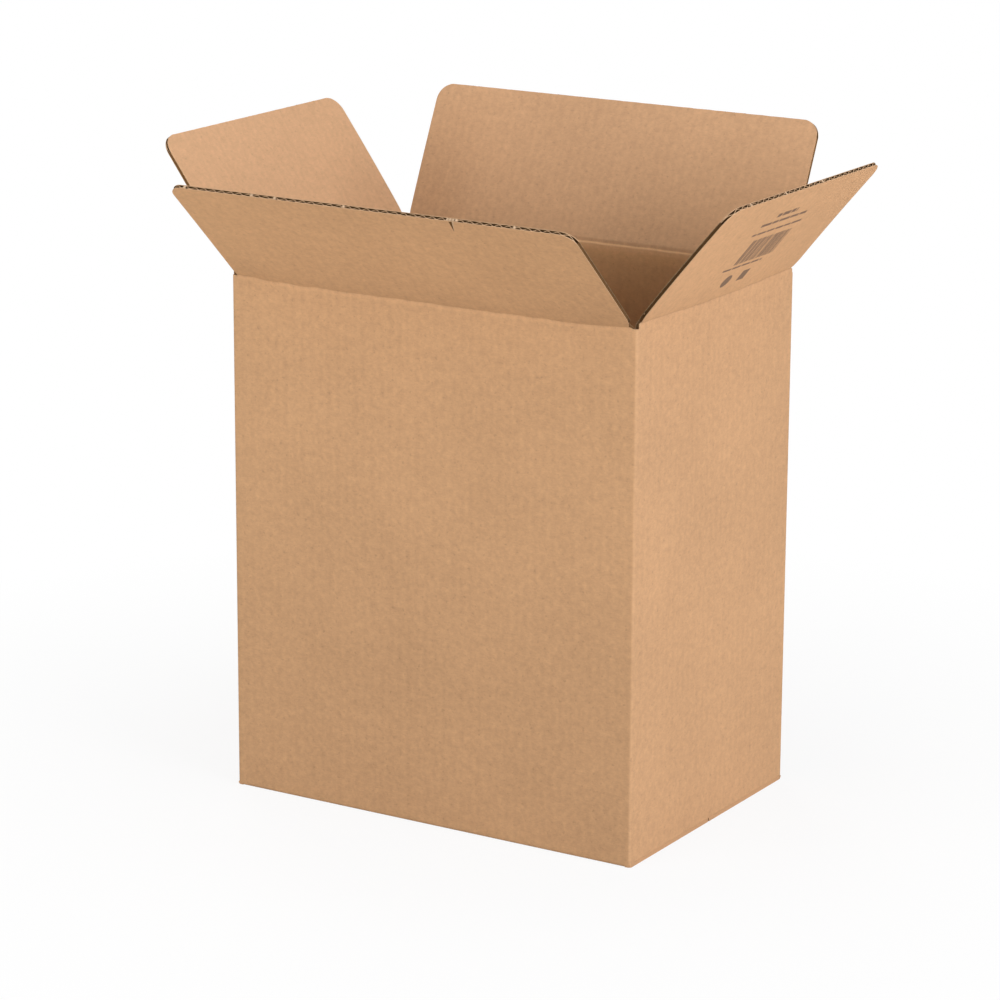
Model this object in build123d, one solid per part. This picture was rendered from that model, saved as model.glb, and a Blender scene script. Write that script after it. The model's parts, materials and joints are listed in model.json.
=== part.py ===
from build123d import *
import math
import os

# Outside of the box: X runs along the long walls, the front wall faces -Y, Z is up
box_length = 291.0
box_width = 198.0
long_crease_height = 336.0
board = 2.5
bend_radius = 3.0
inner_bend_radius = 0.8
overrun = 5.0

# Crease between a wall and its top flap: the flap turns about a line on the outer face
crease_gap = 0.15
layer_clearance = 0.3
corner_slot_depth = 0.4

# Top flaps: the long ones fold in first and the short ones lie on them
long_flap_length = 98.0
tip_radius = 11.5
root_relief = 2.5
long_side_clearance = 1.2
short_side_clearance = 0.8
front_tilt = 46.9
back_tilt = 24.9
left_tilt = 35.9
right_tilt = 40.0

# Corrugated section: two liners with a waved medium between them
flute_pitch = 6.5
liner = 0.4
medium = 0.3
crushed_band = 6.0
flute_margin = 0.8
wide_half_share = 0.34
narrow_half_share = 0.07

# Bottom, folded from four flaps and glued
end_flap_length = 97.0
seam_offset = 0.4
seam_gap = 1.2
under_edge_radius = 1.2

# Glued joint inside the back wall's left end
tab_width = 35.0
tab_taper = 8.0
tab_floor_gap = 2.0
tab_end_gap = 12.0

# Slotted partition for two rows of three cells
cells_along = 3
divider_height = 240.0
divider_play = 0.5
slot_play = 0.6
slot_end_clearance = 0.5
slot_flare = 1.5
slot_lead = 6.0

# Sizes that follow from those above
right_angle = 90.0
half_turn = 180.0
half_share = 0.5
half_length = half_share * box_length
half_width = half_share * box_width
inner_length = box_length - board - board
inner_width = box_width - board - board
short_crease_height = long_crease_height + board + layer_clearance
short_flap_length = long_flap_length + long_crease_height - short_crease_height
floor_top = board + board
long_flap_inset = board + long_side_clearance
lean = math.radians(back_tilt)
short_flap_inset = board * max(math.cos(lean) - math.sin(lean), 0) + short_side_clearance
cell_pitch = (inner_length + board) / cells_along


def block(x0, x1, y0, y1, z0, z1):
    """A box between two values along each axis."""
    base = Pos(x0, y0, z0)
    return base * Box(x1 - x0, y1 - y0, z1 - z0, align=(Align.MIN, Align.MIN, Align.MIN))


def prism(points, direction, length):
    """A flat polygon of 3-D points, drawn out along a direction."""
    face = make_face(Polyline(*points, close=True))
    return extrude(face, amount=length, dir=direction)


def flute_voids(width, start, end, kept_clear):
    """Hollows of the corrugated section, running along Y below the face z = 0, both sides of the medium."""
    wide = wide_half_share * flute_pitch
    narrow = narrow_half_share * flute_pitch
    shallow = -liner
    deep = -board + liner
    step = half_share * flute_pitch
    count = int((half_share * width) / step)
    voids = []
    for index in range(-count, count + 1):
        u = index * step
        outermost = abs(u) + wide + flute_margin
        blocked = any(abs(u - middle) < wide + flute_margin + reach for middle, reach in kept_clear)
        if outermost > half_share * width or blocked:
            continue
        opens_outward = index % 2 == 0
        near = shallow if opens_outward else deep
        far = deep + medium if opens_outward else shallow - medium
        corners = [(u - wide, near), (u + wide, near), (u + narrow, far), (u - narrow, far)]
        points = [(x, start, z) for x, z in corners]
        voids.append(prism(points, (0, 1, 0), end - start))
    return voids


def flap(width, length):
    """A flap lying in XY, its outer face at z = 0 and its crease along y = 0.

    Its round tips are at the free edge; at the crease its sides draw in, so that two flaps leave a notch.
    """
    side = half_share * width
    root = side - root_relief
    lower = [(-root, 0), (root, 0), (side, crushed_band)]
    upper = [(side, length), (-side, length), (-side, crushed_band)]
    outline = make_face(Polyline(*lower, *upper, close=True))
    tips = outline.vertices().group_by(Axis.Y)[-1]
    sheet = extrude(fillet(tips, tip_radius), amount=board, dir=(0, 0, -1))
    past = side + overrun
    mitre = [
        (-past, crease_gap - overrun, overrun),
        (-past, crease_gap + board + overrun, -board - overrun),
        (-past, crease_gap - overrun, -board - overrun),
    ]
    sheet -= prism(mitre, (1, 0, 0), past + past)
    return sheet - flute_voids(width, crushed_band, length + overrun, [])


def crease_cut(run, reach, height):
    """What is taken off the top of a wall so that its flap can fold in: all above a 45 degree plane."""
    inner = -reach + board + long_side_clearance
    outer = -reach - overrun
    top = height + board + overrun
    low = height - crease_gap - board - long_side_clearance
    side = -half_share * run
    points = [
        (side, outer, height - crease_gap + overrun),
        (side, inner, low),
        (side, inner, top + overrun),
        (side, outer, top + overrun),
    ]
    return prism(points, (1, 0, 0), run)


def edge_round(run, reach, height, radius):
    """What is taken off a lower outside edge along X at y = -reach to leave it round."""
    side = half_share * run
    corner = block(-side, side, -reach - overrun, -reach + radius, -overrun, height + radius)
    bar = Rotation(0, right_angle, 0) * Cylinder(radius, run)
    return corner - Pos(0, -reach + radius, height + radius) * bar


def wall_tube():
    """Four walls and two floor layers, with three bent corners and one glued square corner.

    The inner floor layer is two end flaps, so the hollow goes one board deeper between them.
    """
    outline = Rectangle(box_length, box_width)
    glued = outline.vertices().sort_by_distance((-box_length, box_width, 0))[0]
    bends = [v for v in outline.vertices() if v != glued]
    outer = extrude(fillet(bends, bend_radius), amount=short_crease_height)
    hollow_outline = RectangleRounded(inner_length, inner_width, inner_bend_radius)
    inner = extrude(hollow_outline, amount=short_crease_height)
    between = half_length - end_flap_length
    side = half_share * inner_width
    middle = block(-between, between, -side, side, board, floor_top + overrun)
    hollow = Pos(0, 0, floor_top) * inner + middle
    return outer - hollow


def top_cuts():
    """The four crease planes and the four corner slots between flaps."""
    long_run = box_length - long_flap_inset - long_flap_inset
    short_run = box_width - short_flap_inset - short_flap_inset
    cuts = []
    for turn in (0, half_turn):
        cuts.append(Rotation(0, 0, turn) * crease_cut(long_run, half_width, long_crease_height))
        short_cut = crease_cut(short_run, half_length, short_crease_height)
        cuts.append(Rotation(0, 0, turn + right_angle) * short_cut)
    slot = block(
        half_length - long_flap_inset,
        half_length + overrun,
        half_width - short_flap_inset,
        half_width + overrun,
        long_crease_height - corner_slot_depth,
        short_crease_height + overrun,
    )
    for x_way in (1, -1):
        for y_way in (1, -1):
            placed = slot if x_way > 0 else mirror(slot, about=Plane.YZ)
            cuts.append(placed if y_way > 0 else mirror(placed, about=Plane.XZ))
    return cuts


def bottom_cuts():
    """Round folds of the outer flaps and, one board higher, of the inner ones, and the outer flaps' seam."""
    cuts = []
    long_run = box_length + overrun + overrun
    short_run = box_width + overrun + overrun
    for turn in (0, half_turn):
        cuts.append(Rotation(0, 0, turn) * edge_round(long_run, half_width, 0, bend_radius))
        upper = edge_round(short_run, half_length, board, under_edge_radius)
        cuts.append(Rotation(0, 0, turn + right_angle) * upper)
    cuts.append(block(-half_length, half_length, seam_offset, seam_offset + seam_gap, -overrun, board))
    return cuts


def glue_tab():
    """The joint's tab on the inside of the back wall, with its ends cut at a slant."""
    x0 = -half_share * inner_length
    x1 = x0 + tab_width
    y = half_share * inner_width
    low = floor_top + tab_floor_gap
    high = long_crease_height - tab_end_gap
    points = [(x0, y, low), (x1, y, low + tab_taper), (x1, y, high - tab_taper), (x0, y, high)]
    return prism(points, (0, -1, 0), board)


def joint_groove():
    """The round bend of the left wall where the back wall's cut end stands over it."""
    size = under_edge_radius
    x = -half_length
    y = half_width - board
    top = short_crease_height + overrun
    corner = block(x - overrun, x + size, y - size, y, -overrun, top)
    bend = Cylinder(size, top + overrun, align=(Align.CENTER, Align.CENTER, Align.MIN))
    return corner - Pos(x + size, y - size, -overrun) * bend


def box_body():
    body = wall_tube() + glue_tab()
    for cut in top_cuts() + bottom_cuts() + [joint_groove()]:
        body -= cut
    return body


def divider(length, slot_places, from_top):
    """An upright divider lying in XY, its face at z = 0, with half-height slots for the others."""
    sheet = extrude(Pos(0, half_share * divider_height) * Rectangle(length, divider_height), amount=-board)
    half_slot = half_share * (board + slot_play)
    middle = half_share * divider_height
    end = middle - slot_end_clearance if from_top else middle + slot_end_clearance
    mouth = divider_height if from_top else 0
    way = 1 if from_top else -1
    for place in slot_places:
        wide = half_slot + slot_flare
        points = [
            (place - half_slot, end, overrun),
            (place + half_slot, end, overrun),
            (place + half_slot, mouth - way * slot_lead, overrun),
            (place + wide, mouth, overrun),
            (place + wide, mouth + way * overrun, overrun),
            (place - wide, mouth + way * overrun, overrun),
            (place - wide, mouth, overrun),
            (place - half_slot, mouth - way * slot_lead, overrun),
        ]
        sheet -= prism(points, (0, 0, -1), board + overrun + overrun)
    kept_clear = [(place, half_slot + slot_flare) for place in slot_places]
    return sheet - flute_voids(length, -overrun, divider_height + overrun, kept_clear)


def stand(shape):
    """Turn a sheet drawn in XY upright, its thickness centred on Y."""
    return Pos(0, -half_share * board, 0) * Rotation(right_angle, 0, 0) * shape


def placed_flap(width, length, turn, reach, height, tilt):
    leaning = Rotation(right_angle + tilt, 0, 0) * flap(width, length)
    return Rotation(0, 0, turn) * Pos(0, -reach, height) * leaning


def dividers():
    """The long divider and the two that cross it, standing on the floor."""
    places = [-half_share * cell_pitch, half_share * cell_pitch]
    along = divider(inner_length - divider_play - divider_play, places, True)
    across = divider(inner_width - divider_play - divider_play, [0], False)
    pieces = {"divider_long": Pos(0, 0, floor_top) * stand(along)}
    for name, x in zip(("divider_cross_left", "divider_cross_right"), places):
        pieces[name] = Pos(x, 0, floor_top) * Rotation(0, 0, right_angle) * stand(across)
    return pieces


def flaps():
    long_flap = box_length - long_flap_inset - long_flap_inset, long_flap_length
    short_flap = box_width - short_flap_inset - short_flap_inset, short_flap_length
    return {
        "front_flap": placed_flap(*long_flap, 0, half_width, long_crease_height, front_tilt),
        "right_flap": placed_flap(*short_flap, right_angle, half_length, short_crease_height, right_tilt),
        "back_flap": placed_flap(*long_flap, half_turn, half_width, long_crease_height, back_tilt),
        "left_flap": placed_flap(*short_flap, -right_angle, half_length, short_crease_height, left_tilt),
    }


os.makedirs("parts", exist_ok=True)
shapes = {"box_body": box_body(), **flaps(), **dividers()}
for name, shape in shapes.items():
    export_step(shape, f"parts/{name}.step")
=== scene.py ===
import json
import math
import random
from dataclasses import dataclass

import bpy
import numpy as np
from mathutils import Euler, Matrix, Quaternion, Vector


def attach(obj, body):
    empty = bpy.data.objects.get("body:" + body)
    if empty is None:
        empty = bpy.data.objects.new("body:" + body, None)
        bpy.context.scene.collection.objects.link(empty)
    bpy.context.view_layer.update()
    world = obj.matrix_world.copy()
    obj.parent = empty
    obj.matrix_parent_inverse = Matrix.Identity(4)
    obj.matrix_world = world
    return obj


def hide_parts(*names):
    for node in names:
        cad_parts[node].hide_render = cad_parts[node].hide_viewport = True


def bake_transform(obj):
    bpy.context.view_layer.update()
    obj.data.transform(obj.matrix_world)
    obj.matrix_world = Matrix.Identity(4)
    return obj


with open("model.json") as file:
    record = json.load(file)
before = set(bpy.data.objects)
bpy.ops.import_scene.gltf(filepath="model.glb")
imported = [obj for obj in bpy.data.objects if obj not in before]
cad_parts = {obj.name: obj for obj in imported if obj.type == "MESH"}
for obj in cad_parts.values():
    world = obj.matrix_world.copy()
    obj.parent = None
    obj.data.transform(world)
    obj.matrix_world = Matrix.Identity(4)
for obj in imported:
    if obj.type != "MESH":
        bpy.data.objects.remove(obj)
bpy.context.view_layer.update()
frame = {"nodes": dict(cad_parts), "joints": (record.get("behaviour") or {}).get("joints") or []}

MM = 0.001
UP = np.array([0.0, 0.0, 1.0])
SEED = 7
SHARP_DEGREES = 38

# The board
BOARD = 2.5 * MM
LINER = 0.36 * MM
MEDIUM = 0.44 * MM
FLUTE_PITCH = 6.5 * MM
FLUTE_STEPS = 12
FLUTE_ROWS = 12
CRUSHED_BAND = 6.0 * MM
FLUTE_RECESS = 0.3 * MM
FLUTE_MARGIN = 0.8 * MM
SIDE_RECESS = 0.35 * MM
SIDE_START = 3.0 * MM
SIDE_ROWS = 14
EDGE_INSET = 0.45 * MM

# Folds and bends
FOLD_RADIUS = 0.9 * MM
FOLD_BAND = 8.0 * MM
ROOT_RELIEF = 2.5 * MM
SMALL_RELIEF = 0.6 * MM
RELIEF_REACH = 10.0 * MM
RELIEF_STEP = 0.3 * MM
BEND_RADIUS = 1.8 * MM
HALF_BEND = BEND_RADIUS * math.pi / 4
LONG_FOOT_RADIUS = 2.2 * MM
SHORT_FOOT_RADIUS = 0.4 * MM

# Walls and floor
SLOT_DEPTH = 0.4 * MM
STEP_WIDTH = 0.02 * MM
CORNER_FOOT = 0.4 * MM
TAB_WIDTH = 35.0 * MM
TAB_TAPER = 8.0 * MM
TAB_FLOOR_GAP = 2.0 * MM
TAB_END_GAP = 12.0 * MM
FLOOR_INSET = 0.2 * MM
END_FLAP_LENGTH = 97.0 * MM
SEAM_FRONT = 0.4 * MM
SEAM_BACK = 1.6 * MM

# Material places in each sheet's list
OUTSIDE, INSIDE, EDGE, FLUTE, LAYERS, TORN, INK, SHADE, INNER = range(9)


def smooth(value, start, end):
    """0 before start, 1 after end, and an even rise between."""
    t = np.clip((value - start) / (end - start), 0, 1)
    return t * t * (3 - 2 * t)


def bell(value, middle, width):
    """1 at the middle, falling away on both sides."""
    return np.exp(-(((value - middle) / width) ** 2))


def ripple(seed, shortest, longest, count=7):
    """A smooth random curve along one direction, about -1 to 1 high."""
    rng = random.Random(seed)
    waves = [(rng.uniform(1 / longest, 1 / shortest), rng.uniform(0, math.tau)) for _ in range(count)]

    def height(u):
        return sum(np.sin(math.tau * rate * u + turn) for rate, turn in waves) / math.sqrt(count)

    return height


class Crease:
    """Where a flap folds, how it leans and how big it is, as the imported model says."""

    def __init__(self, joint_name, node):
        joint = next(j for j in frame["joints"] if j["name"] == joint_name)
        self.body = joint["child"]
        self.node = node
        self.origin = np.array(joint["pos_m"], float)
        self.along = np.array(joint["axis"], float)
        self.out = np.cross(self.along, UP)
        mesh = frame["nodes"][node].data
        points = np.array([v.co for v in mesh.vertices], float) - self.origin
        outward = points @ self.out
        upward = points @ UP
        reach = np.hypot(outward, upward)
        tip = reach.argmax()
        self.length = math.sqrt(reach[tip] ** 2 - BOARD**2)
        self.tilt = math.atan2(outward[tip], upward[tip]) + math.atan2(BOARD, self.length)
        self.half_width = abs(points @ self.along).max()
        self.height = self.origin[2]
        self.reach = abs(self.origin @ self.out)
        self.leaf = math.sin(self.tilt) * self.out + math.cos(self.tilt) * UP


class Sheet:
    """Gathers closed slabs of board into one mesh."""

    def __init__(self):
        self.points = []
        self.faces = []
        self.slots = []
        self.maps = []
        self.painted_light_and_shade = []
        self.count = 0

    def slab(self, across, up, place, near, far, slots, start=0.0, painted_light_and_shade=0.0):
        """A closed slab: across has one value a column, up a row of values for each column, and near and far
        are its depths. slots are the materials of the near face, the far face and the edges; one that is an
        array has a value for each face. The last argument is painted light and shade, which is added to the
        paper's brightness."""
        up = np.asarray(up, float)
        columns, rows = up.shape
        u = np.repeat(np.asarray(across, float)[:, None], rows, axis=1)
        for depth in (near, far):
            depth = np.broadcast_to(depth, up.shape)
            self.points.append(place(u.ravel(), up.ravel(), depth.ravel()))
            self.painted_light_and_shade.append(np.broadcast_to(painted_light_and_shade, up.shape).ravel())
        shift = columns * rows
        first = self.count + np.arange(shift).reshape(columns, rows)
        second = first + shift
        self.count += 2 * shift
        flat = np.stack([u + start, up], axis=-1)
        near_face = self._cells(first)
        far_face = self._cells(second)[::-1]
        face_map = self._cells(flat)
        self._quads(near_face, face_map, slots[0])
        self._quads(far_face, face_map[::-1], slots[1])
        self._edge(first[::-1, 0], second[::-1, 0], across[::-1], slots[2])
        self._edge(first[:, -1], second[:, -1], across, slots[2])
        self._edge(first[0], second[0], up[0], slots[2])
        self._edge(first[-1, ::-1], second[-1, ::-1], up[-1, ::-1], slots[2])

    @staticmethod
    def _cells(grid):
        """The four corners of every cell of a grid, in turn."""
        return [grid[:-1, :-1], grid[1:, :-1], grid[1:, 1:], grid[:-1, 1:]]

    def _quads(self, corners, flat, slot):
        """Faces from their four corners, with the map of those corners and a material."""
        self.faces.append(np.stack([c.ravel() for c in corners], axis=1))
        self.maps.append(np.stack([f.reshape(-1, 2) for f in flat], axis=1).reshape(-1, 2))
        self.slots.append(np.broadcast_to(slot, corners[0].shape).ravel())

    def _edge(self, near, far, along, slot):
        """A strip of faces between the two sides of a slab, with the depth across its map."""
        along = np.asarray(along, float)
        corners = [near[:-1], near[1:], far[1:], far[:-1]]
        zero = np.zeros(len(along) - 1)
        one = np.ones(len(along) - 1)
        flat = [(zero, along[:-1]), (zero, along[1:]), (one, along[1:]), (one, along[:-1])]
        self._quads(corners, [np.stack(pair, axis=-1) for pair in flat], slot)

    def make(self, name, materials):
        mesh = bpy.data.meshes.new(name)
        mesh.from_pydata(np.concatenate(self.points).tolist(), [], np.concatenate(self.faces).tolist())
        layer = mesh.uv_layers.new(name="board")
        layer.data.foreach_set("uv", np.concatenate(self.maps).astype(np.float32).ravel())
        # Painted light and shade, which the materials add to the paper's brightness
        tone = mesh.attributes.new("painted_light_and_shade", "FLOAT", "POINT")
        tone.data.foreach_set("value", np.concatenate(self.painted_light_and_shade).astype(np.float32))
        for material in materials:
            mesh.materials.append(material)
        mesh.polygons.foreach_set("material_index", np.concatenate(self.slots).astype(np.int32))
        mesh.shade_smooth()
        mesh.set_sharp_from_angle(angle=math.radians(SHARP_DEGREES))
        mesh.update()
        piece = bpy.data.objects.new(name, mesh)
        bpy.context.scene.collection.objects.link(piece)
        return piece


# Shader nodes
@dataclass
class Grain:
    """A noise: its scale, one value or one for each axis, its detail and its roughness."""

    scale: object
    detail: float
    roughness: float = 0.55


def add(tree, kind, inputs, **settings):
    """A shader node with its settings and its inputs, each a value or another node's output."""
    made = tree.nodes.new(kind)
    for key, value in settings.items():
        setattr(made, key, value)
    for key, value in inputs.items():
        if isinstance(value, bpy.types.NodeSocket):
            tree.links.new(value, made.inputs[key])
        else:
            made.inputs[key].default_value = value
    return made


def maths(tree, operation, first, second=0.0, third=0.0):
    values = {0: first, 1: second, 2: third}
    return add(tree, "ShaderNodeMath", values, operation=operation).outputs[0]


def noise(tree, vector, grain):
    scale = grain.scale
    if isinstance(scale, tuple):
        vector = add(tree, "ShaderNodeMapping", {"Vector": vector, "Scale": scale}).outputs[0]
        scale = 1.0
    inputs = {"Vector": vector, "Scale": scale, "Detail": grain.detail, "Roughness": grain.roughness}
    return add(tree, "ShaderNodeTexNoise", inputs).outputs["Fac"]


def centred(tree, value):
    """A noise moved so that its middle is 0."""
    return maths(tree, "SUBTRACT", value, 0.5)


def span(tree, value, low, high, new_low=0.0, new_high=1.0):
    inputs = {"Value": value, "From Min": low, "From Max": high, "To Min": new_low, "To Max": new_high}
    return add(tree, "ShaderNodeMapRange", inputs).outputs[0]


def flute_wave(tree, along):
    """1 to -1 and back over each flute."""
    return maths(tree, "SINE", maths(tree, "MULTIPLY", along, math.tau / FLUTE_PITCH))


def painted_light_and_shade_attribute(tree):
    """The painted light and shade that a sheet carries at each point."""
    return add(tree, "ShaderNodeAttribute", {}, attribute_name="painted_light_and_shade").outputs["Fac"]


def new_material(name):
    material = bpy.data.materials.new(name)
    material.use_nodes = True
    tree = material.node_tree
    shader = next(n for n in tree.nodes if n.type == "BSDF_PRINCIPLED")
    return material, tree, shader


def tint(tree, shader, colour, tone):
    """Give the shader a colour made paler or darker by a tone."""
    scaled = add(tree, "ShaderNodeVectorMath", {0: colour, "Scale": tone}, operation="SCALE")
    tree.links.new(scaled.outputs[0], shader.inputs["Base Color"])


def roughen(tree, shader, height, strength, distance):
    bump = add(tree, "ShaderNodeBump", {"Height": height, "Strength": strength, "Distance": distance})
    tree.links.new(bump.outputs["Normal"], shader.inputs["Normal"])


# Paper: its noises, and what each adds to its brightness
CLOUDS = Grain(13.0, 3.0)
MOTTLE = Grain(330.0, 4.0, 0.65)
FIBRES = Grain((380.0, 1150.0, 800.0), 3.0, 0.6)
HAIRS = Grain((150.0, 520.0, 400.0), 2.0, 0.45)
HAIR_PATCHES = Grain(95.0, 2.0)
BLOTCHES = Grain(150.0, 2.0, 0.5)
FLECKS = Grain(380.0, 1.0)
CLOUD_WEIGHT = 0.16
MOTTLE_WEIGHT = 0.30
FIBRE_WEIGHT = 0.18
HAIR_WEIGHT = 0.05
BLOTCH_WEIGHT = 0.17
FLECK_WEIGHT = -0.11
FLUTE_WEIGHT = 0.008
HAIR_WIDTH = 0.012
PATCH_RANGE = (0.5, 0.66)
FLECK_RANGE = (0.64, 0.76)
NOISE_RANGE = (0.3, 0.7)
# Where the painted light is a strong highlight, the paper turns towards this paler colour: a painted
# highlight
PAINTED_HIGHLIGHT_COLOUR = (0.605, 0.407, 0.229)
PAINTED_HIGHLIGHT_TONES = (0.15, 0.6)
PAPER_ROUGHNESS = (0.82, 0.95)
PAPER_SPECULAR = 0.22
MOTTLE_RELIEF = 0.5
FIBRE_RELIEF = 0.5
FLUTE_RELIEF = 0.22
PAPER_BUMP = 0.32
PAPER_BUMP_HEIGHT = 0.16 * MM


def kraft(name, colour, coordinates="UV", flute_show=0.0, mottling=1.0):
    """Brown paper liner with clouds, fibres and flecks, and the flutes showing through. The sheet's painted
    light and shade is added to its brightness, and a strong painted highlight also turns the paper paler.
    """
    material, tree, shader = new_material(name)
    where = add(tree, "ShaderNodeTexCoord", {}).outputs[coordinates]
    mottle = noise(tree, where, MOTTLE)
    fibre = noise(tree, where, FIBRES)
    hair = maths(tree, "ABSOLUTE", centred(tree, noise(tree, where, HAIRS)))
    hair = span(tree, hair, 0.0, HAIR_WIDTH, 1.0, 0.0)
    patch = span(tree, noise(tree, where, HAIR_PATCHES), *PATCH_RANGE)
    fleck = span(tree, noise(tree, where, FLECKS), *FLECK_RANGE)
    across = add(tree, "ShaderNodeSeparateXYZ", {"Vector": where}).outputs[0]
    flute = flute_wave(tree, across)
    painted_light_and_shade = painted_light_and_shade_attribute(tree)
    parts = (
        (centred(tree, noise(tree, where, CLOUDS)), CLOUD_WEIGHT * mottling),
        (centred(tree, mottle), MOTTLE_WEIGHT * mottling),
        (centred(tree, fibre), FIBRE_WEIGHT * mottling),
        (maths(tree, "MULTIPLY", hair, patch), HAIR_WEIGHT * mottling),
        (centred(tree, noise(tree, where, BLOTCHES)), BLOTCH_WEIGHT * mottling),
        (fleck, FLECK_WEIGHT * mottling),
        (flute, FLUTE_WEIGHT * flute_show),
    )
    tone = 1.0
    for part, weight in parts:
        tone = maths(tree, "MULTIPLY_ADD", part, weight, tone)
    # Add the sheet's painted light and shade
    tone = maths(tree, "ADD", tone, painted_light_and_shade)
    colours = {0: span(tree, painted_light_and_shade, *PAINTED_HIGHLIGHT_TONES), 1: (*colour, 1), 2: (*PAINTED_HIGHLIGHT_COLOUR, 1)}
    tint(tree, shader, add(tree, "ShaderNodeMixRGB", colours).outputs[0], tone)
    tree.links.new(span(tree, mottle, *NOISE_RANGE, *PAPER_ROUGHNESS), shader.inputs["Roughness"])
    shader.inputs["Specular IOR Level"].default_value = PAPER_SPECULAR
    relief = maths(tree, "MULTIPLY_ADD", mottle, MOTTLE_RELIEF, maths(tree, "MULTIPLY", fibre, FIBRE_RELIEF))
    relief = maths(tree, "MULTIPLY_ADD", flute, FLUTE_RELIEF * flute_show, relief)
    roughen(tree, shader, relief, PAPER_BUMP, PAPER_BUMP_HEIGHT)
    return material


# Cut board: depths in the layered edge are shares of the board's thickness, and the hollows between
# the flutes are darkened as painted shade
EDGE_GRAIN = Grain(900.0, 3.0, 0.6)
EDGE_TONES = (0.82, 1.12)
# The first tone is painted shade in the hollows between the liners, the second the liners' own
LINER_DEPTHS = (0.27, 0.36)
GAP_SHADE_AND_LINER_TONES = (0.3, 1.0)
WAVE_SHARE = 0.26
MEDIUM_DEPTHS = (0.04, 0.09)
MEDIUM_TONES = (0.75, 0.0)
EDGE_ROUGHNESS = 0.95
EDGE_SPECULAR = 0.1
EDGE_BUMP = 0.4
EDGE_BUMP_HEIGHT = 0.2 * MM


def board_layers(tree, place):
    """The tone of two pale liners with the waved medium between them, and painted shade in the hollow
    flutes.
    """
    depth, along, _ = add(tree, "ShaderNodeSeparateXYZ", {"Vector": place}).outputs
    liners = span(tree, maths(tree, "ABSOLUTE", centred(tree, depth)), *LINER_DEPTHS, *GAP_SHADE_AND_LINER_TONES)
    middle = maths(tree, "MULTIPLY_ADD", flute_wave(tree, along), WAVE_SHARE, 0.5)
    off_middle = maths(tree, "ABSOLUTE", maths(tree, "SUBTRACT", depth, middle))
    return maths(tree, "MAXIMUM", liners, span(tree, off_middle, *MEDIUM_DEPTHS, *MEDIUM_TONES))


def cut_edge(name, colour, layered=False):
    """Cut board, plain or with its layers."""
    material, tree, shader = new_material(name)
    place = add(tree, "ShaderNodeTexCoord", {})
    grain = noise(tree, place.outputs["Object"], EDGE_GRAIN)
    tone = maths(tree, "ADD", span(tree, grain, *NOISE_RANGE, *EDGE_TONES), painted_light_and_shade_attribute(tree))
    if layered:
        tone = maths(tree, "MULTIPLY", tone, board_layers(tree, place.outputs["UV"]))
    tint(tree, shader, colour, tone)
    shader.inputs["Roughness"].default_value = EDGE_ROUGHNESS
    shader.inputs["Specular IOR Level"].default_value = EDGE_SPECULAR
    roughen(tree, shader, grain, EDGE_BUMP, EDGE_BUMP_HEIGHT)
    return material


INK_GRAIN = Grain(1200.0, 3.0, 0.6)
INK_TONES = (0.88, 1.18)
INK_ROUGHNESS = 0.8
INK_SPECULAR = 0.2


def ink(name, colour):
    """Thin ink that lets some of the paper's unevenness through."""
    material, tree, shader = new_material(name)
    where = add(tree, "ShaderNodeTexCoord", {}).outputs["UV"]
    tint(tree, shader, colour, span(tree, noise(tree, where, INK_GRAIN), *NOISE_RANGE, *INK_TONES))
    shader.inputs["Roughness"].default_value = INK_ROUGHNESS
    shader.inputs["Specular IOR Level"].default_value = INK_SPECULAR
    return material


OUTSIDE_COLOUR = (0.60, 0.352, 0.186)
INSIDE_COLOUR = (0.628, 0.376, 0.208)
# The inside paper again, darker and warmer as painted shade, for the inside of the box below the folds
INSIDE_SHADED_COLOUR = (0.605, 0.352, 0.172)
PARTITION_COLOUR = (0.56, 0.33, 0.18)
LINER_EDGE_COLOUR = (0.58, 0.37, 0.215)
# The board's inner paper, darker than the paper is, as painted shade inside the board
FLUTE_AND_SHADE_COLOUR = (0.15, 0.083, 0.034)
BOARD_EDGE_COLOUR = (0.6, 0.38, 0.22)
TORN_COLOUR = (0.60, 0.42, 0.27)
INK_COLOUR = (0.235, 0.15, 0.098)
# Crushed board, darkened further as painted shade; it also makes the painted shade of the tear
CRUSHED_AND_SHADE_COLOUR = (0.15, 0.076, 0.028)

materials = [
    kraft("kraft_outside", OUTSIDE_COLOUR, flute_show=1.3, mottling=1.2),
    kraft("kraft_inside", INSIDE_COLOUR, flute_show=1.5, mottling=1.1),
    cut_edge("liner_edge", LINER_EDGE_COLOUR),
    cut_edge("flute_paper_and_shade", FLUTE_AND_SHADE_COLOUR),
    cut_edge("board_edge", BOARD_EDGE_COLOUR, layered=True),
    cut_edge("torn_fibre", TORN_COLOUR),
    ink("print_ink", INK_COLOUR),
    cut_edge("crushed_board_and_shade", CRUSHED_AND_SHADE_COLOUR),
    kraft("kraft_inside_shaded", INSIDE_SHADED_COLOUR, flute_show=1.5, mottling=1.1),
]

creases = {side: Crease(f"{side}_crease", f"{side}_flap") for side in ("front", "back", "right", "left")}
half_length = creases["right"].reach
half_width = creases["front"].reach
slot_floor = creases["front"].height - SLOT_DEPTH


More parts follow.
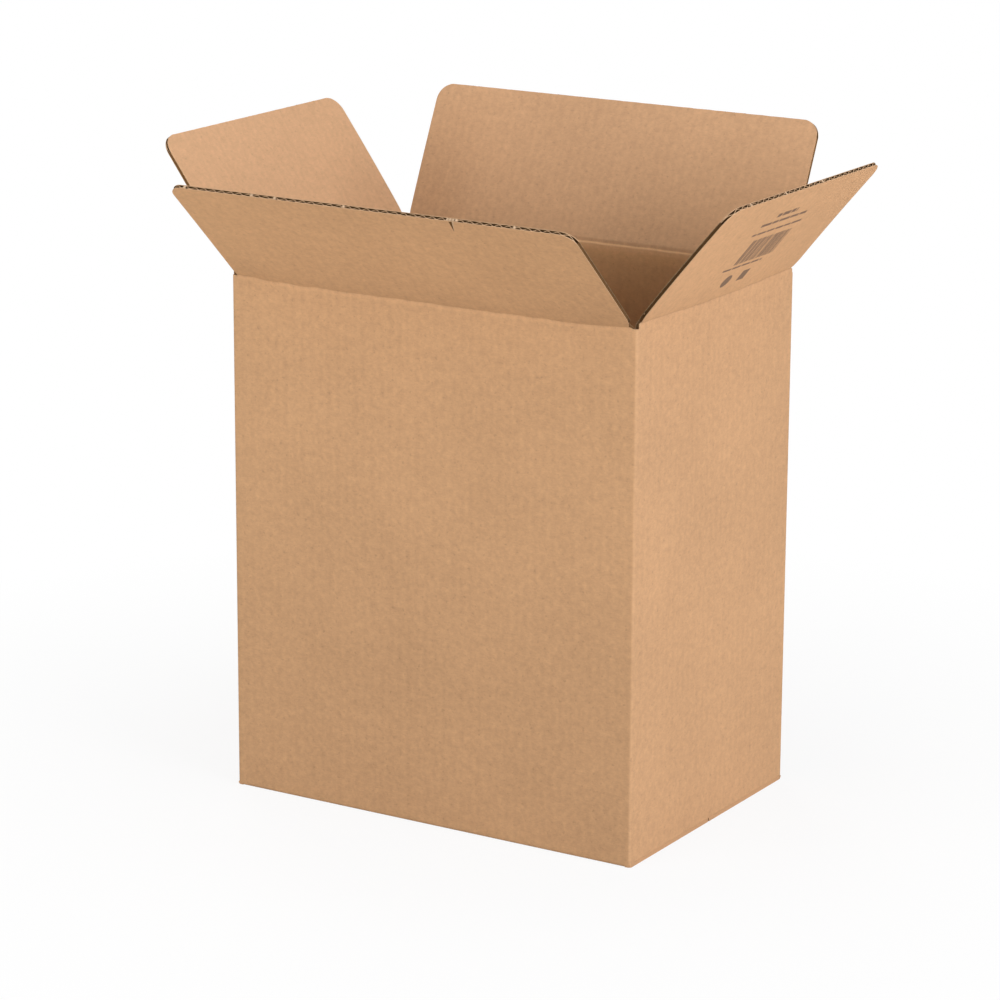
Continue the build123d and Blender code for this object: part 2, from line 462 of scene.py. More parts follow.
class Wrap:
    """A level line with rounded left turns, which the walls are bent along."""

    def __init__(self, corners, radius):
        corners = [np.array(c, float) for c in corners]
        self.parts = []
        self.turns = []
        self.length = 0.0
        begin = corners[0]
        for index in range(1, len(corners)):
            run = corners[index] - corners[index - 1]
            run = run / np.linalg.norm(run)
            is_last = index == len(corners) - 1
            end = corners[index] if is_last else corners[index] - radius * run
            self._append(("line", begin, run), np.linalg.norm(end - begin))
            if not is_last:
                side = np.array([run[1], -run[0]])
                self.turns.append(self.length + radius * math.pi / 4)
                self._append(("arc", end - radius * side, (side, run, radius)), radius * math.pi / 2)
                begin = end - radius * side + radius * run
        self.starts = np.array([p[0] for p in self.parts])

    def _append(self, part, length):
        self.parts.append((self.length, *part))
        self.length += length

    def at(self, distance):
        """Points on the line and the outward directions there."""
        points = np.zeros((len(distance), 2))
        normals = np.zeros((len(distance), 2))
        which = np.clip(np.searchsorted(self.starts, distance, side="right") - 1, 0, None)
        for index, (start, kind, base, way) in enumerate(self.parts):
            chosen = which == index
            travel = distance[chosen] - start
            if kind == "line":
                points[chosen] = base + travel[:, None] * way
                normals[chosen] = (way[1], -way[0])
            else:
                side, run, radius = way
                angle = travel / radius
                normals[chosen] = np.cos(angle)[:, None] * side + np.sin(angle)[:, None] * run
                points[chosen] = base + radius * normals[chosen]
        return points, normals


# The blank starts at the glue tab inside the back wall and ends at the back wall's cut edge
tab_line = half_width - BOARD
wrap_corners = [
    (-half_length + BOARD + TAB_WIDTH, tab_line),
    (-half_length, tab_line),
    (-half_length, -half_width),
    (half_length, -half_width),
    (half_length, half_width),
    (-half_length, half_width),
]
wrap = Wrap(wrap_corners, BEND_RADIUS)

WALL_ORDER = ("left", "front", "right", "back")
SHORT_WALLS = ("left", "right")
wall_reach = {name: half_width if name in SHORT_WALLS else half_length for name in WALL_ORDER}


def wall_middles():
    """Distance along the blank to the middle of each wall's flap."""
    middles = {}
    for name, turn in zip(WALL_ORDER, wrap.turns):
        middles[name] = turn + wall_reach[name] - BEND_RADIUS + HALF_BEND
    middles["left"] -= BOARD
    return middles


middles = wall_middles()

WALL_BOW = 0.9 * MM
BOW_POWER = 1.5
EVEN_BOW_SHARE = 0.8
UNEVEN_BOW_SHARE = 0.3
BOW_WAVES = (0.3, 0.9)


def wall_bow(distance, height):
    """Walls belly out a little between their corners, unevenly."""
    rise = np.sin(np.pi * np.clip(height / slot_floor, 0, 1)) ** BOW_POWER
    total = np.zeros_like(distance)
    for index, name in enumerate(WALL_ORDER):
        share = np.clip((distance - middles[name]) / (wall_reach[name] - BEND_RADIUS), -1, 1)
        lean = EVEN_BOW_SHARE + UNEVEN_BOW_SHARE * ripple(SEED + index, *BOW_WAVES)(height)
        total += WALL_BOW * np.cos(share * np.pi / 2) ** BOW_POWER * rise * lean
    return total


def wall_place(distance, height, depth):
    points, normals = wrap.at(distance)
    on_tab = distance < wrap.turns[0]
    swell = np.where(on_tab, 0, wall_bow(distance, height))
    level = points + (swell - depth)[:, None] * normals
    return np.column_stack([level, height])


TAB_BEND_COLUMNS = 6
BEND_COLUMNS = 9
SHORT_WALL_COLUMNS = 21
LONG_WALL_COLUMNS = 31


def wall_columns():
    """Distances along the blank with the lowest and highest point of the board at each."""
    tab_end = wrap.turns[0] - HALF_BEND
    tab_low = BOARD + BOARD + TAB_FLOOR_GAP
    tab_high = creases["front"].height - TAB_END_GAP
    stations = [(0.0, tab_low + TAB_TAPER, tab_high - TAB_TAPER), (tab_end, tab_low, tab_high)]
    corners = list(tab_end + STEP_WIDTH + np.linspace(0, HALF_BEND + HALF_BEND, TAB_BEND_COLUMNS))
    for turn in wrap.turns[1:]:
        corners.extend(np.linspace(turn - HALF_BEND, turn + HALF_BEND, BEND_COLUMNS))
    corners.append(wrap.length)
    for name in WALL_ORDER:
        crease = creases[name]
        short = name in SHORT_WALLS
        low = BOARD + SHORT_FOOT_RADIUS if short else LONG_FOOT_RADIUS
        first = middles[name] - crease.half_width
        last = middles[name] + crease.half_width
        corners.extend([first - STEP_WIDTH, last + STEP_WIDTH])
        for spot in np.linspace(first, last, SHORT_WALL_COLUMNS if short else LONG_WALL_COLUMNS):
            stations.append((spot, low, crease.height - FOLD_BAND))
    stations.extend((spot, CORNER_FOOT, slot_floor) for spot in corners)
    return np.array(sorted(stations))


WALL_ROWS = 34
# A thin line of painted shade at each bend
BEND_TONE = -0.05
BEND_LINE = 0.9 * MM
# Painted shade on the front wall towards its foot
FRONT_SHADE = 0.11
SHADE_HEIGHTS = (60 * MM, 300 * MM)


def wall_tone(spots, up):
    """A thin line of painted shade at each bend, and painted shade that makes the front wall a little
    darker towards its foot.
    """
    lines = sum(BEND_TONE * bell(spots, turn, BEND_LINE) for turn in wrap.turns)
    reach = np.abs(spots - middles["front"])
    on_front = 1 - smooth(reach, half_length - BEND_RADIUS, half_length)
    shade = FRONT_SHADE * (smooth(up, *SHADE_HEIGHTS) - 1)
    return lines[:, None] + on_front[:, None] * shade


def build_walls():
    """Four walls and the bottom flaps: the long ones meet at a seam under the short ones."""
    sheet = Sheet()
    spots, low, high = wall_columns().T
    up = low[:, None] + (high - low)[:, None] * np.linspace(0, 1, WALL_ROWS)
    # The walls' inside is the shaded copy of the inside paper: painted shade
    slots = (OUTSIDE, INNER, LAYERS)
    sheet.slab(spots, up, wall_place, 0.0, BOARD, slots, painted_light_and_shade=wall_tone(spots, up))
    for name, seam in (("front", SEAM_FRONT), ("back", -SEAM_BACK)):
        floor_flap(sheet, creases[name], half_length - FLOOR_INSET, half_width + seam, 0.0, LONG_FOOT_RADIUS)
    for name in SHORT_WALLS:
        floor_flap(sheet, creases[name], half_width - BOARD, END_FLAP_LENGTH, BOARD, SHORT_FOOT_RADIUS)
    return sheet.make("box_board", materials)


FLOOR_COLUMNS = 40
FLOOR_ROWS = 14
FOOT_ROWS = 8
FOOT_GAP = 1.0 * MM


def floor_flap(sheet, crease, half_run, length, level, radius):
    """A bottom flap with the round bend that joins it to its wall."""
    bend = radius * math.pi / 2

    def place(u, v, d):
        back = -v
        angle = np.clip(back / radius, 0, math.pi / 2)
        flat = np.maximum(back - bend, 0)
        outward = crease.reach - radius + (radius - d) * np.cos(angle) - flat
        upward = level + radius - (radius - d) * np.sin(angle)
        return u[:, None] * crease.along + outward[:, None] * crease.out + upward[:, None] * UP

    across = np.linspace(-half_run, half_run, FLOOR_COLUMNS)
    flat_rows = np.linspace(-length + radius - bend, -bend - FOOT_GAP, FLOOR_ROWS)
    up = np.tile(np.concatenate([flat_rows, np.linspace(-bend, 0, FOOT_ROWS)]), (FLOOR_COLUMNS, 1))
    tone = np.zeros(up.shape)
    # The front bottom flap carries on the front wall's painted shade at its bend
    if crease is creases["front"]:
        tone[1:-1] = -FRONT_SHADE
    sheet.slab(across, up, place, 0.0, BOARD, (OUTSIDE, INNER, OUTSIDE), middles["front"], tone)


# Open flaps
LOW_ROWS = 5
FOLD_SPAN = 3.0 * MM
FOLD_STEPS = 21
PAST_FOLD = 4.0 * MM
ROW_GAP = 1.0 * MM
FOLD_ROWS = np.append(np.linspace(-FOLD_SPAN, FOLD_SPAN, FOLD_STEPS), PAST_FOLD)
UPPER_ROWS = 22
FLAP_COLUMNS = 90
TIP_COLUMNS = 12
WAVER_LENGTHS = (20 * MM, 90 * MM)
WAVER_END = 12.0 * MM
RAGGED = 0.06 * MM
RAGGED_LENGTHS = (4 * MM, 20 * MM)
FLAP_BOW = 0.4 * MM
BOW_START = 20.0 * MM
SWAY_SHARE = 0.5
SWAY_LENGTHS = (150 * MM, 500 * MM)


class Leaf:
    """One flap: its fold, its outline and how its sheet lies.

    sag is how far the fold line hangs between its ends, sag_ends says where it comes back up, and waver is
    how far it strays. reliefs are how far its two sides draw in just above the fold.
    """

    def __init__(self, crease, seed, sag, sag_ends, waver, tip_radius, reliefs):
        self.crease = crease
        self.seed = seed
        self.sag = sag
        self.sag_ends = sag_ends
        self.waver = waver
        self.tip_radius = tip_radius
        self.reliefs = reliefs
        self.arc = FOLD_RADIUS * crease.tilt / 2
        self.tangent = FOLD_RADIUS * math.tan(crease.tilt / 2)
        self.tip = crease.length - self.tangent + self.arc
        self.low = -FOLD_BAND + self.tangent - self.arc
        self.wave = ripple(seed, *WAVER_LENGTHS)
        self.ragged = ripple(seed + 1, *RAGGED_LENGTHS)
        self.sway = ripple(seed + 2, *SWAY_LENGTHS)

    def fold_drop(self, u):
        """Height of the fold line over its nominal place."""
        half = self.crease.half_width
        ends = smooth(np.abs(u), *self.sag_ends)
        edge = 1 - smooth(np.abs(u), half - WAVER_END, half)
        return -self.sag * (1 - ends) + self.waver * self.wave(u) * edge

    def draw_in(self, u, past):
        """How far the sides draw in just above the fold, which leaves a notch at each corner of the box."""
        half = self.crease.half_width
        edge = smooth(np.abs(u), half - RELIEF_REACH, half)
        root = np.clip(1 - past / CRUSHED_BAND, 0, 1) * smooth(past, -RELIEF_STEP, RELIEF_STEP)
        return np.where(u < 0, -self.reliefs[0], self.reliefs[1]) * edge * root

    def place(self, u, v, d):
        """Where a point of the sheet lies: u is along the fold, v up the sheet and d in from its outside."""
        crease = self.crease
        tilt = crease.tilt
        drop = self.fold_drop(u)
        past = v - drop
        u = u - self.draw_in(u, past)
        angle = np.clip(past / FOLD_RADIUS + tilt / 2, 0, tilt)
        before = np.minimum(past + self.arc, 0)
        after = np.maximum(past - self.arc, 0)
        run = np.clip(after / crease.length, 0, 1)
        sway = 1 + SWAY_SHARE * self.sway(u)
        curl = FLAP_BOW * np.sin(np.pi * run) * sway * smooth(after, 0, BOW_START)
        radius = FOLD_RADIUS + d + curl
        outward = FOLD_RADIUS - radius * np.cos(angle) + after * np.sin(angle)
        upward = radius * np.sin(angle) - self.tangent + before + after * np.cos(angle) + drop
        outward += run * drop * math.sin(tilt)
        upward -= run * drop * (1 - math.cos(tilt))
        level = u[:, None] * crease.along + outward[:, None] * crease.out
        return crease.origin + level + upward[:, None] * UP

    def outline(self, u, margin=0.0):
        """Height of the free edge, with round corners and a slightly ragged cut."""
        radius = self.tip_radius
        over = np.clip(np.abs(u) - (self.crease.half_width - radius), 0, radius)
        drop = radius - np.sqrt(np.maximum(radius**2 - over**2, 0))
        return self.tip - drop - margin - EDGE_INSET - RAGGED * self.ragged(u)

    def rows(self, u):
        """Values up the flap for each column, close together at the fold."""
        drop = self.fold_drop(u)[:, None]
        low = self.low + (FOLD_ROWS[0] + drop - self.low) * np.linspace(0, 1, LOW_ROWS, endpoint=False)
        start = drop + FOLD_ROWS[-1] + ROW_GAP
        rest = start + (self.outline(u)[:, None] - start) * np.linspace(0, 1, UPPER_ROWS)
        return np.concatenate([low, drop + FOLD_ROWS, rest], axis=1)

    def columns(self):
        straight = self.crease.half_width - self.tip_radius
        middle = np.linspace(-straight, straight, FLAP_COLUMNS)
        turn = straight + self.tip_radius * np.sin(np.linspace(0, math.pi / 2, TIP_COLUMNS))[1:]
        return np.concatenate([-turn[::-1], middle, turn])


# Marks of the fold: a dent over it and a bead under it on the inside, with painted shade in the dent
# and along the fold, and painted highlights on the bead and just under the fold
DENT_DEPTH = 0.2 * MM
DENT_WIDTH = 0.6 * MM
DENT_SHIFT = -0.3 * MM
# Painted shade in the dent over the fold
DENT_TONE = -0.12
BEAD_HEIGHT = 0.22 * MM
BEAD_WIDTH = 1.0 * MM
BEAD_DROP = 1.6 * MM
BEAD_FADE = 3.4 * MM
FADE_END = 3.0 * MM
SHADE_REACH = 16.0 * MM
INNER_SHADE_REACH = 4.0 * MM
END_SHADE_SHARES = (0.2, 0.9)
END_SHADE_HEIGHTS = (20 * MM, 70 * MM)


@dataclass
class Look:
    """Painted light and shade of one flap, as shares added to its paper's brightness.

    line is painted shade along the fold and the next one a painted highlight just under the fold;
    shade and inner_shade are painted shade over the flap near the fold, and bead a painted highlight on
    the bead. outer, inner and slope make the whole flap lighter or darker as painted light, slope from
    its first side to its last. Those that come in pairs are for the flap's first side and its last: sides
    are the painted tones of its crushed flutes there, rims those of the inner liner's cut edge, and
    end_shades painted shadow on the inside towards that side.
    """

    outer: float = 0.0
    slope: float = 0.0
    line: float = -0.08
    fold_highlight: float = 0.0
    shade: float = 0.0
    inner: float = 0.0
    inner_shade: float = 0.0
    bead: float = 0.08
    sides: tuple = (0.0, 0.0)
    rims: tuple = (0.0, 0.0)
    end_shades: tuple = (0.0, 0.0)

    def outer_tone(self, share, fold):
        """share is -1 at the flap's first side and 1 at its last, fold the height over the fold."""
        flap = smooth(fold, 0, DENT_WIDTH)
        tone = self.line * bell(fold, 0, DENT_WIDTH) + self.fold_highlight * bell(fold, -BEAD_DROP, BEAD_WIDTH)
        shade = self.shade * np.exp(-np.maximum(fold, 0) / SHADE_REACH)
        return tone + flap * (self.outer + self.slope * share + shade)

    def inner_tone(self, share, fold, up, low):
        """As outer_tone, with the height up the sheet and its lowest value, where the bead fades out."""
        flap = smooth(fold, 0, DENT_WIDTH)
        first, last = self.end_shades
        ends = first * smooth(-share, *END_SHADE_SHARES) + last * smooth(share, *END_SHADE_SHARES)
        ends = ends * (1 - smooth(fold, *END_SHADE_HEIGHTS))
        below = np.minimum(fold + BEAD_DROP, 0)
        above = np.maximum(fold + BEAD_DROP, 0)
        bead = np.exp(below / BEAD_FADE) * bell(above, 0, BEAD_WIDTH) * smooth(up, low, low + FADE_END)
        tone = DENT_TONE * bell(fold, DENT_SHIFT, DENT_WIDTH) + self.bead * bead
        shade = self.inner_shade * np.exp(-np.maximum(fold, 0) / INNER_SHADE_REACH)
        tone = tone + flap * (self.inner + shade + ends)
        tone[0] += self.rims[0]
        tone[-1] += self.rims[1]
        return tone


def build_flap(name, leaf, look, nicks):
    """Two liners with the waved medium between them, carried over the fold onto the top of the wall."""
    sheet = Sheet()
    u = leaf.columns()
    up = leaf.rows(u)
    fold = up - leaf.fold_drop(u)[:, None]
    dent = DENT_DEPTH * bell(fold, 0, DENT_WIDTH)
    hollow = DENT_DEPTH * bell(fold, DENT_SHIFT, DENT_WIDTH)
    bead = BEAD_HEIGHT * bell(fold, -BEAD_DROP, BEAD_WIDTH) * smooth(up, leaf.low, leaf.low + FADE_END)
    inner = BOARD + bead - hollow
    start = middles[name]
    side_share = u[:, None] / leaf.crease.half_width
    outer_tone = look.outer_tone(side_share, fold)
    inner_tone = look.inner_tone(side_share, fold, up, leaf.low)
    sheet.slab(u, up, leaf.place, dent, LINER + dent, (OUTSIDE, FLUTE, EDGE), start, outer_tone)
    # Below the fold the inside is the shaded copy of the inside paper: painted shade
    paper = np.where(fold[1:, 1:] < DENT_SHIFT, INNER, INSIDE)
    sheet.slab(u, up, leaf.place, inner - LINER, inner, (FLUTE, paper, EDGE), start, inner_tone)
    # The crushed core of the fold, whose cut ends are dark as painted shade, with the sides' painted tones
    filled = slice(0, LOW_ROWS + len(FOLD_ROWS) + 1)
    near = (LINER + dent)[:, filled]
    far = (BOARD - LINER - hollow)[:, filled]
    end_tone = np.where(u < 0, *look.sides)[:, None]
    sheet.slab(u, up[:, filled], leaf.place, near, far, (FLUTE, FLUTE, SHADE), start, end_tone)
    build_medium(sheet, leaf, start)
    for way, tone in zip((-1, 1), look.sides):
        side_filling(sheet, leaf, way, tone)
    for spot in nicks:
        torn_nick(sheet, leaf, spot * MM)
    if name == "front":
        build_tear(sheet, leaf)
    return sheet.make(f"{name}_flap_board", materials)


def build_medium(sheet, leaf, start):
    """The waved paper between the liners, just short of the cut edges."""
    half = leaf.crease.half_width - FLUTE_MARGIN
    u = np.arange(-half, half, FLUTE_PITCH / FLUTE_STEPS)
    top = leaf.outline(u, FLUTE_RECESS)
    up = CRUSHED_BAND + (top - CRUSHED_BAND)[:, None] * np.linspace(0, 1, FLUTE_ROWS)
    swing = (BOARD - LINER - LINER - MEDIUM) / 2
    middle = BOARD / 2 + swing * np.sin(math.tau * u / FLUTE_PITCH)[:, None]
    sheet.slab(u, up, leaf.place, middle - MEDIUM / 2, middle + MEDIUM / 2, (FLUTE, FLUTE, EDGE), start)


def side_filling(sheet, leaf, way, tone):
    """The crushed last flute, just inside a side edge, darkened as painted shade and with the side's
    painted tone.
    """
    half = leaf.crease.half_width
    u = np.sort(way * (half - np.array([SIDE_RECESS, SIDE_RECESS + FLUTE_MARGIN])))
    rows = np.linspace(SIDE_START, leaf.tip - leaf.tip_radius, SIDE_ROWS)
    sheet.slab(u, np.tile(rows, (2, 1)), leaf.place, LINER, BOARD - LINER, (SHADE, SHADE, SHADE), painted_light_and_shade=tone)


# Tufts of torn fibre on the free edges, and a tear on the front flap
NICK_WIDTH = 1.6 * MM
NICK_HEIGHT = 0.35 * MM
NICK_ROOT = 1.0 * MM
NICK_INSETS = (0.35 * MM, 0.5 * MM)
NICK_COLUMNS = 11
NICK_ROWS = 5
NICK_POWER = 0.7
NICK_ROUGH_SHARES = (0.55, 1.0)
TEAR_PLACE = 60.2 * MM
TEAR_LEAN = 2.2 * MM
TEAR_LENGTH = 11.0 * MM
TEAR_WIDTH = 2.4 * MM
TEAR_FACE = 0.05 * MM
TEAR_ROWS = 12
SLIT_COLUMNS = 3
LIP_WIDTH = 1.1 * MM
LIP_HEIGHT = 0.3 * MM
LIP_SHARES = (1.0, 0.9, 0.5, 0.0)
LIP_RISE_SHARES = (0.2, 1.0)


def torn_nick(sheet, leaf, spot):
    """Where a bridge of the die was left uncut: a tuft of torn fibre that closes the flutes."""
    u = spot + np.linspace(-NICK_WIDTH / 2, NICK_WIDTH / 2, NICK_COLUMNS)
    rng = random.Random(int(spot / MM) + leaf.seed)
    rough = np.array([rng.uniform(*NICK_ROUGH_SHARES) for _ in u])
    rise = NICK_HEIGHT * np.sin(np.linspace(0, math.pi, NICK_COLUMNS)) ** NICK_POWER * rough
    share = np.linspace(0, 1, NICK_ROWS)
    up = (leaf.outline(u) - NICK_ROOT)[:, None] + (rise + NICK_ROOT)[:, None] * share
    inset = NICK_INSETS[0] + (NICK_INSETS[1] - NICK_INSETS[0]) * share**2
    sheet.slab(u, up, leaf.place, inset[None, :], (BOARD - inset)[None, :], (TORN, TORN, TORN))


def build_tear(sheet, leaf):
    """A short slit down from the free edge, with a lip of torn paper beside it. The slit is a thin dark
    sheet on the surface, painted shade in place of an opening.
    """
    top = leaf.outline(np.array([TEAR_PLACE]))[0] - EDGE_INSET / 2

    def place(u, v, d):
        along = np.clip((top - v) / TEAR_LENGTH, 0, 1)
        return leaf.place(TEAR_PLACE - TEAR_LEAN * along + u * (1 - along), v, d)

    rows = np.linspace(top - TEAR_LENGTH, top, TEAR_ROWS)
    slit = np.linspace(-TEAR_WIDTH / 2, TEAR_WIDTH / 2, SLIT_COLUMNS)
    slit_up = np.tile(rows, (SLIT_COLUMNS, 1))
    # The slit: a thin dark sheet of painted shade on the surface
    sheet.slab(slit, slit_up, place, -TEAR_FACE, TEAR_FACE, (SHADE, SHADE, SHADE))
    lip = TEAR_WIDTH / 2 + np.linspace(0, LIP_WIDTH, len(LIP_SHARES))
    lift = np.outer(LIP_SHARES, np.linspace(*LIP_RISE_SHARES, TEAR_ROWS))
    lip_up = np.tile(rows, (len(LIP_SHARES), 1))
    sheet.slab(lip, lip_up, place, -TEAR_FACE - LIP_HEIGHT * lift, TEAR_FACE, (TORN, TORN, TORN))


LEAVES = {
    "front": dict(
        seed=SEED + 10,
        sag=1.6 * MM,
        sag_ends=(100 * MM, 140 * MM),
        waver=0.35 * MM,
        tip_radius=9.5 * MM,
        reliefs=(SMALL_RELIEF, ROOT_RELIEF),
    ),
    "back": dict(
        seed=SEED + 20,
        sag=-4.6 * MM,
        sag_ends=(100 * MM, 138 * MM),
        waver=0.12 * MM,
        tip_radius=11.5 * MM,
        reliefs=(ROOT_RELIEF, ROOT_RELIEF),
    ),
    "right": dict(
        seed=SEED + 30,
        sag=1.5 * MM,
        sag_ends=(20 * MM, 92 * MM),
        waver=0.22 * MM,
        tip_radius=11.5 * MM,
        reliefs=(ROOT_RELIEF, ROOT_RELIEF),
    ),
    "left": dict(
        seed=SEED + 40,
        sag=0.8 * MM,
        sag_ends=(20 * MM, 92 * MM),
        waver=0.22 * MM,
        tip_radius=11.5 * MM,
        reliefs=(ROOT_RELIEF, ROOT_RELIEF),
    ),
}
# Painted light and shade of each flap: outer, inner and slope make whole flaps lighter or darker, and the
# rest are painted shade and highlights at the fold and on the cut edges
LOOKS = {
    "front": Look(
        outer=0.02, slope=-0.03, line=-0.04, fold_highlight=0.07, shade=-0.13, sides=(0.4, 0.0), rims=(0.0, -0.5)
    ),
    "back": Look(inner=-0.03, inner_shade=-0.06, bead=0.5, sides=(0.6, 0.6), end_shades=(0.06, -0.04)),
    "right": Look(outer=0.10, line=-0.1, shade=-0.08, sides=(-0.4, 0.5), rims=(-0.5, 0.0)),
    "left": Look(inner=0.13, sides=(0.5, 0.3), end_shades=(-0.09, 0.0)),
}

# Places of the tufts along each free edge, in millimetres from its middle
NICKS = {
    "front": (-129.6, -80.5, -63.8, -14.6, 57.8, 59.6, 61.7, 63.9, 103.0),
    "back": (-87.9, -28.0, 50.6, 112.0),
    "right": (-73.7, -29.8, 17.1),
    "left": (-52.0, 17.2),
}

box_piece = build_walls()
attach(box_piece, "box")
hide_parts("box_body")

leaves = {side: Leaf(creases[side], **values) for side, values in LEAVES.items()}
for side, leaf in leaves.items():
    flap_piece = build_flap(side, leaf, LOOKS[side], NICKS[side])
    crease = leaf.crease
    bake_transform(flap_piece)
    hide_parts(crease.node)


# Print on the right flap
INK_LIFT = 0.05 * MM
INK_DEPTH = 0.02 * MM
INK_ROWS = 4
INK_COLUMNS = 5
DISC_COLUMNS = 25

# Sizes of the print, in millimetres. A row of dashes has two ends, a height up the flap and a thickness
PRINT_ROWS = ((-15, 11, 73.2, 3.2), (-28, 30, 66.8, 2.3), (-30, 34, 58.8, 1.8), (-29, 20, 27.6, 1.7))
DASH_LENGTHS = (5.0, 13.0)
DASH_GAP = 1.5
BARS_ACROSS = (-20.0, 29.0)
BARS_UP = (31.0, 52.5)
BAR_WIDTHS = (0.6, 0.6, 0.9, 1.2, 1.8)
BAR_GAPS = (0.6, 0.7, 1.0, 1.5)

# Middle, height and radius of the disc, the least half height of its ends, and the sides of the block
DISC = (-10.0, 15.0, 5.2)
DISC_LEAST = 0.00005
BLOCK = (6.0, 15.0, 11.5, 20.5)


def ink_patch(sheet, leaf, across, low, high):
    """A patch of ink between two heights for each place across, all in millimetres."""
    across = np.asarray(across, float) * MM
    low = np.broadcast_to(low, across.shape)[:, None] * MM
    high = np.broadcast_to(high, across.shape)[:, None] * MM
    up = low + (high - low) * np.linspace(0, 1, INK_ROWS)
    sheet.slab(across, up, leaf.place, -INK_LIFT, -INK_LIFT + INK_DEPTH, (INK, INK, INK))


def build_print(leaf):
    """Plain dashes, a block of upright bars and two small shapes, all of made-up sizes."""
    sheet = Sheet()
    rng = random.Random(SEED + 50)
    for left, right, middle, thick in PRINT_ROWS:
        spot = left
        while spot < right:
            end = min(spot + rng.uniform(*DASH_LENGTHS), right)
            dash = np.linspace(spot, end, INK_COLUMNS)
            ink_patch(sheet, leaf, dash, middle - thick / 2, middle + thick / 2)
            spot = end + DASH_GAP
    spot = BARS_ACROSS[0]
    while spot < BARS_ACROSS[1]:
        width = rng.choice(BAR_WIDTHS)
        ink_patch(sheet, leaf, [spot, spot + width], *BARS_UP)
        spot += width + rng.choice(BAR_GAPS)
    middle, height, radius = DISC
    share = np.linspace(-1, 1, DISC_COLUMNS)
    half = radius * np.sqrt(np.maximum(1 - share**2, 0)) + DISC_LEAST
    ink_patch(sheet, leaf, middle + radius * share, height - half, height + half)
    left, right, low, high = BLOCK
    ink_patch(sheet, leaf, np.linspace(left, right, INK_COLUMNS), low, high)
    return sheet.make("flap_print", materials)


print_piece = build_print(leaves["right"])
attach(print_piece, leaves["right"].crease.body)

partition = kraft("partition_board", PARTITION_COLOUR, coordinates="Object")
for node in ("divider_long", "divider_cross_left", "divider_cross_right"):
    divider = frame["nodes"][node]
    divider.data.materials.clear()
    divider.data.materials.append(partition)


# Floor, light and camera
WHITE = (1.0, 1.0, 1.0)
COOL_WHITE = (0.99, 1.0, 1.06)
FLOOR_SIZE = 14.0
FLOOR_WHITE = (0.9, 0.9, 0.9)
FLOOR_BOUNCE = (0.64, 0.62, 0.57)
NEAR_WHITE_SHARE = 0.88
NEAR_FLOOR = 0.22
FAR_FLOOR = 0.6
WORLD_LEVEL = 0.1

# Each lamp's name, place, the point it faces, width, power and colour
LAMPS = (
    ("right_softbox", (2.4, -0.5, 0.8), (0.0, 0.0, 0.25), 1.5, 49, COOL_WHITE),
    ("front_softbox", (-0.3, -2.6, 0.7), (0.0, 0.0, 0.25), 1.3, 22, WHITE),
    ("near_softbox", (-0.75, -1.3, 0.6), (0.0, 0.0, 0.3), 0.5, 4.5, WHITE),
    ("top_softbox", (0.2, -0.3, 2.6), (0.0, 0.0, 0.0), 2.0, 29, WHITE),
    ("back_softbox", (-1.9, 1.7, 0.7), (0.0, 0.0, 0.2), 1.3, 28, WHITE),
)

CAMERA_PLACE = (1.2443, -2.0460, 0.8330)
CAMERA_TILT = 74.942
CAMERA_TURN = 31.494
CAMERA_ROLL = 0.307
CAMERA_LENS = 140.46
SENSOR_WIDTH = 36.0


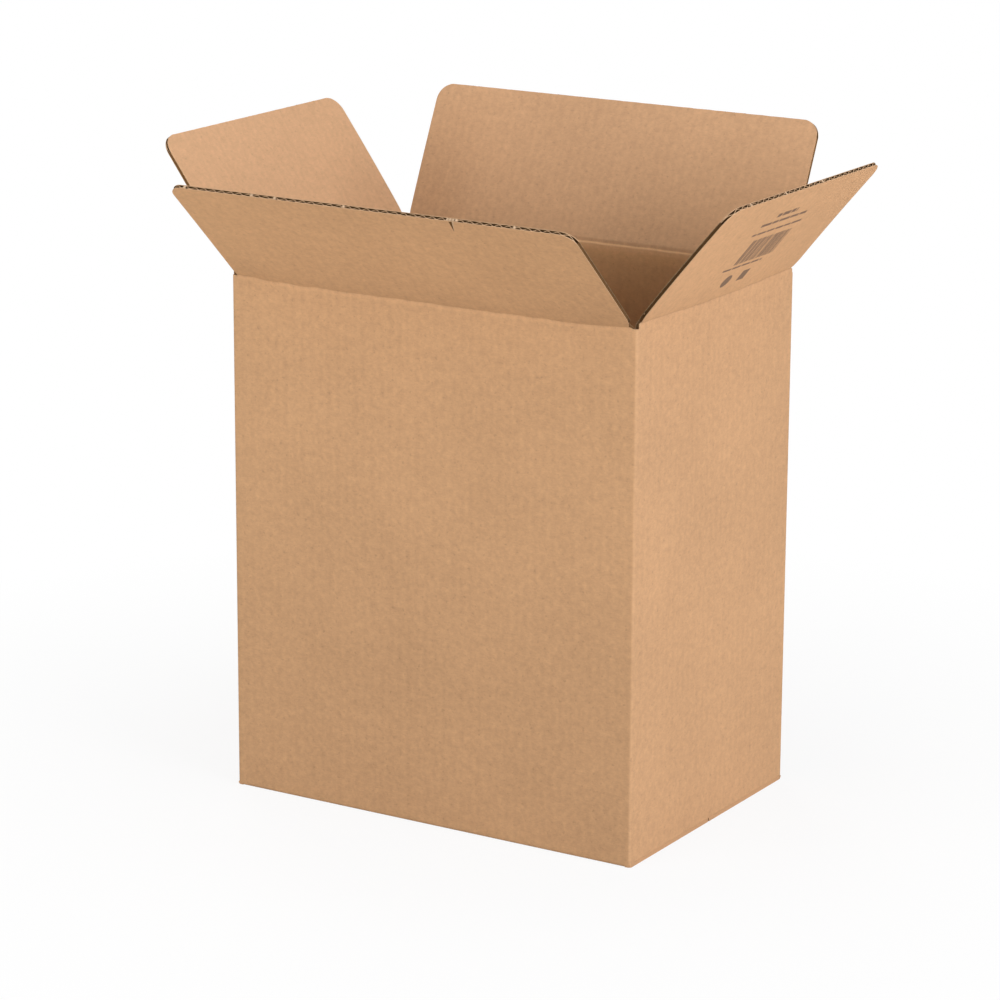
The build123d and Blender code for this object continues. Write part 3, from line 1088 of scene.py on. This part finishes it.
def floor_material():
    """White to the camera, a little shaded near the box, and warm grey to the light that it throws back."""
    material = bpy.data.materials.new("studio_floor")
    material.use_nodes = True
    tree = material.node_tree
    tree.nodes.clear()
    path = add(tree, "ShaderNodeLightPath", {}).outputs["Is Camera Ray"]
    colours = {0: path, 1: (*FLOOR_BOUNCE, 1), 2: (*FLOOR_WHITE, 1)}
    mixed = add(tree, "ShaderNodeMixRGB", colours).outputs[0]
    paint = add(tree, "ShaderNodeBsdfDiffuse", {"Color": mixed})
    glow = add(tree, "ShaderNodeEmission", {"Color": (*WHITE, 1), "Strength": 1.0})
    where = add(tree, "ShaderNodeTexCoord", {}).outputs["Object"]
    distance = add(tree, "ShaderNodeVectorMath", {0: where}, operation="LENGTH").outputs["Value"]
    share = maths(tree, "MULTIPLY", path, span(tree, distance, NEAR_FLOOR, FAR_FLOOR, NEAR_WHITE_SHARE, 1.0))
    mix = add(tree, "ShaderNodeMixShader", {0: share, 1: paint.outputs[0], 2: glow.outputs[0]})
    add(tree, "ShaderNodeOutputMaterial", {"Surface": mix.outputs[0]})
    return material


def build_floor():
    mesh = bpy.data.meshes.new("studio_floor")
    half = FLOOR_SIZE / 2
    corners = [(-half, -half, 0), (half, -half, 0), (half, half, 0), (-half, half, 0)]
    mesh.from_pydata(corners, [], [(0, 1, 2, 3)])
    mesh.materials.append(floor_material())
    floor = bpy.data.objects.new("studio_floor", mesh)
    bpy.context.scene.collection.objects.link(floor)


def build_world():
    """A white surround to the camera, and a dim one to the box."""
    world = bpy.data.worlds.new("studio")
    bpy.context.scene.world = world
    world.use_nodes = True
    tree = world.node_tree
    tree.nodes.clear()
    path = add(tree, "ShaderNodeLightPath", {}).outputs["Is Camera Ray"]
    strength = span(tree, path, 0, 1, WORLD_LEVEL, 1.0)
    sky = add(tree, "ShaderNodeBackground", {"Color": (*WHITE, 1), "Strength": strength})
    add(tree, "ShaderNodeOutputWorld", {"Surface": sky.outputs[0]})


def soft_lamp(name, place, target, size, power, colour):
    lamp = bpy.data.lights.new(name, "AREA")
    lamp.color = colour
    lamp.shape = "SQUARE"
    lamp.size = size
    lamp.energy = power
    lamp_object = bpy.data.objects.new(name, lamp)
    lamp_object.location = place
    way = np.array(target) - np.array(place)
    lamp_object.rotation_euler = Vector(way).to_track_quat("-Z", "Y").to_euler()
    bpy.context.scene.collection.objects.link(lamp_object)


def build_camera():
    camera = bpy.data.cameras.new("camera")
    camera.lens = CAMERA_LENS
    camera.sensor_width = SENSOR_WIDTH
    camera_object = bpy.data.objects.new("camera", camera)
    camera_object.location = CAMERA_PLACE
    camera_object.rotation_mode = "QUATERNION"
    aim = Euler((math.radians(CAMERA_TILT), 0, math.radians(CAMERA_TURN))).to_quaternion()
    camera_object.rotation_quaternion = aim @ Quaternion((0, 0, 1), math.radians(CAMERA_ROLL))
    bpy.context.scene.collection.objects.link(camera_object)
    bpy.context.scene.camera = camera_object


build_floor()
build_world()
for lamp_values in LAMPS:
    soft_lamp(*lamp_values)
build_camera()
bpy.context.scene.view_settings.view_transform = "Standard"
